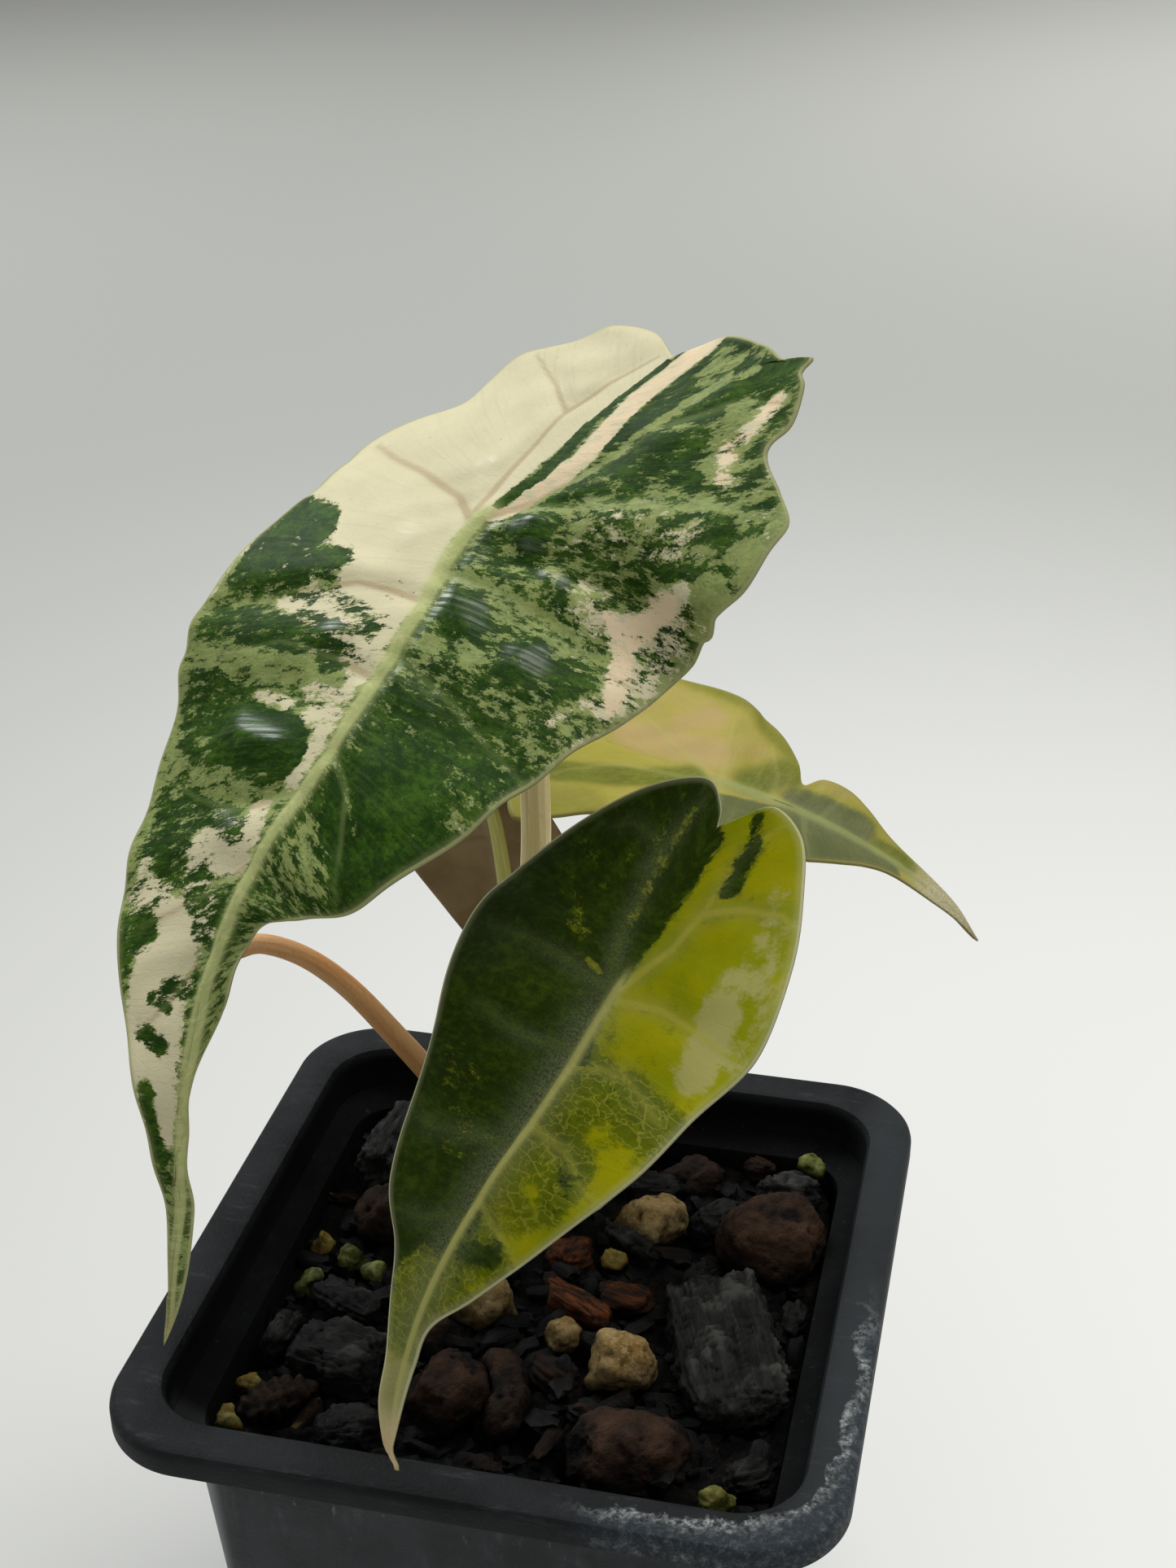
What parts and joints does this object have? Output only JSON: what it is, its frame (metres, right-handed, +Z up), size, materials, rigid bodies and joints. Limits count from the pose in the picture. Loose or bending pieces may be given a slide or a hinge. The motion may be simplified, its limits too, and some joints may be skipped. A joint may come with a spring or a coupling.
{
  "type": "potted plant",
  "caption": "Young variegated alocasia with arrow-shaped marbled leaves on thin stalks, in a square black nursery pot filled with chunky growing mix.",
  "frame": {"origin": "centre of the pot's flat base", "axes": "+Z up along the pot's axis, -Y towards the pot's near side, which the longest leaf tips reach over, +X to its right"},
  "size_m": [0.1046, 0.1121, 0.1971],
  "materials": {
    "back_leaf_blade": "leaf seen from its dark underside",
    "back_leaf_stalk": "yellow-green stalk",
    "bark": "reddish brown bark",
    "charcoal": "dark grey charcoal with wood grain",
    "clay": "rough fired clay with pits",
    "front_leaf_blade": "waxy leaf marbled in two greens",
    "front_leaf_stalk": "green stalk",
    "grain": "matte yellow-green grains",
    "large_leaf_blade": "waxy leaf marbled in cream, pale green and dark green",
    "large_leaf_stalk": "pale stalk with fine green lines",
    "left_leaf_blade": "waxy green leaf",
    "left_leaf_stalk": "brown-pink stalk",
    "mix": "damp bark, fibre and charcoal crumbs",
    "pot_plastic": "black moulded plastic, scuffed",
    "pumice": "tan and cream angular pumice",
    "right_leaf_blade": "waxy yellow-green leaf",
    "right_leaf_stalk": "green stalk",
    "rootstock": "brown fibrous rootstock"
  },
  "bodies": {
    "root": {"back_leaf_blade": "back_leaf_blade", "back_leaf_stalk": "back_leaf_stalk", "bark_1": "bark", "bark_2": "bark", "bark_3": "bark", "bark_4": "bark", "bark_5": "bark", "bark_6": "bark", "bark_7": "bark", "bark_8": "bark", "charcoal_1": "charcoal", "charcoal_10": "charcoal", "charcoal_11": "charcoal", "charcoal_12": "charcoal", "charcoal_13": "charcoal", "charcoal_14": "charcoal", "charcoal_15": "charcoal", "charcoal_16": "charcoal", "charcoal_2": "charcoal", "charcoal_3": "charcoal", "charcoal_4": "charcoal", "charcoal_5": "charcoal", "charcoal_6": "charcoal", "charcoal_7": "charcoal", "charcoal_8": "charcoal", "charcoal_9": "charcoal", "clay_1": "clay", "clay_2": "clay", "clay_3": "clay", "clay_4": "clay", "clay_5": "clay", "clay_6": "clay", "clay_7": "clay", "clay_ball_1": "clay", "clay_ball_2": "clay", "front_leaf_blade": "front_leaf_blade", "front_leaf_stalk": "front_leaf_stalk", "grain_1": "grain", "grain_2": "grain", "grain_3": "grain", "grain_4": "grain", "grain_5": "grain", "grain_6": "grain", "grain_7": "grain", "grain_8": "grain", "grain_9": "grain", "large_leaf_blade": "large_leaf_blade", "large_leaf_stalk": "large_leaf_stalk", "left_leaf_blade": "left_leaf_blade", "left_leaf_stalk": "left_leaf_stalk", "mix": "mix", "pot": "pot_plastic", "pumice_1": "pumice", "pumice_2": "pumice", "pumice_3": "pumice", "pumice_4": "pumice", "right_leaf_blade": "right_leaf_blade", "right_leaf_stalk": "right_leaf_stalk", "rootstock": "rootstock"}
  },
  "joints": []
}
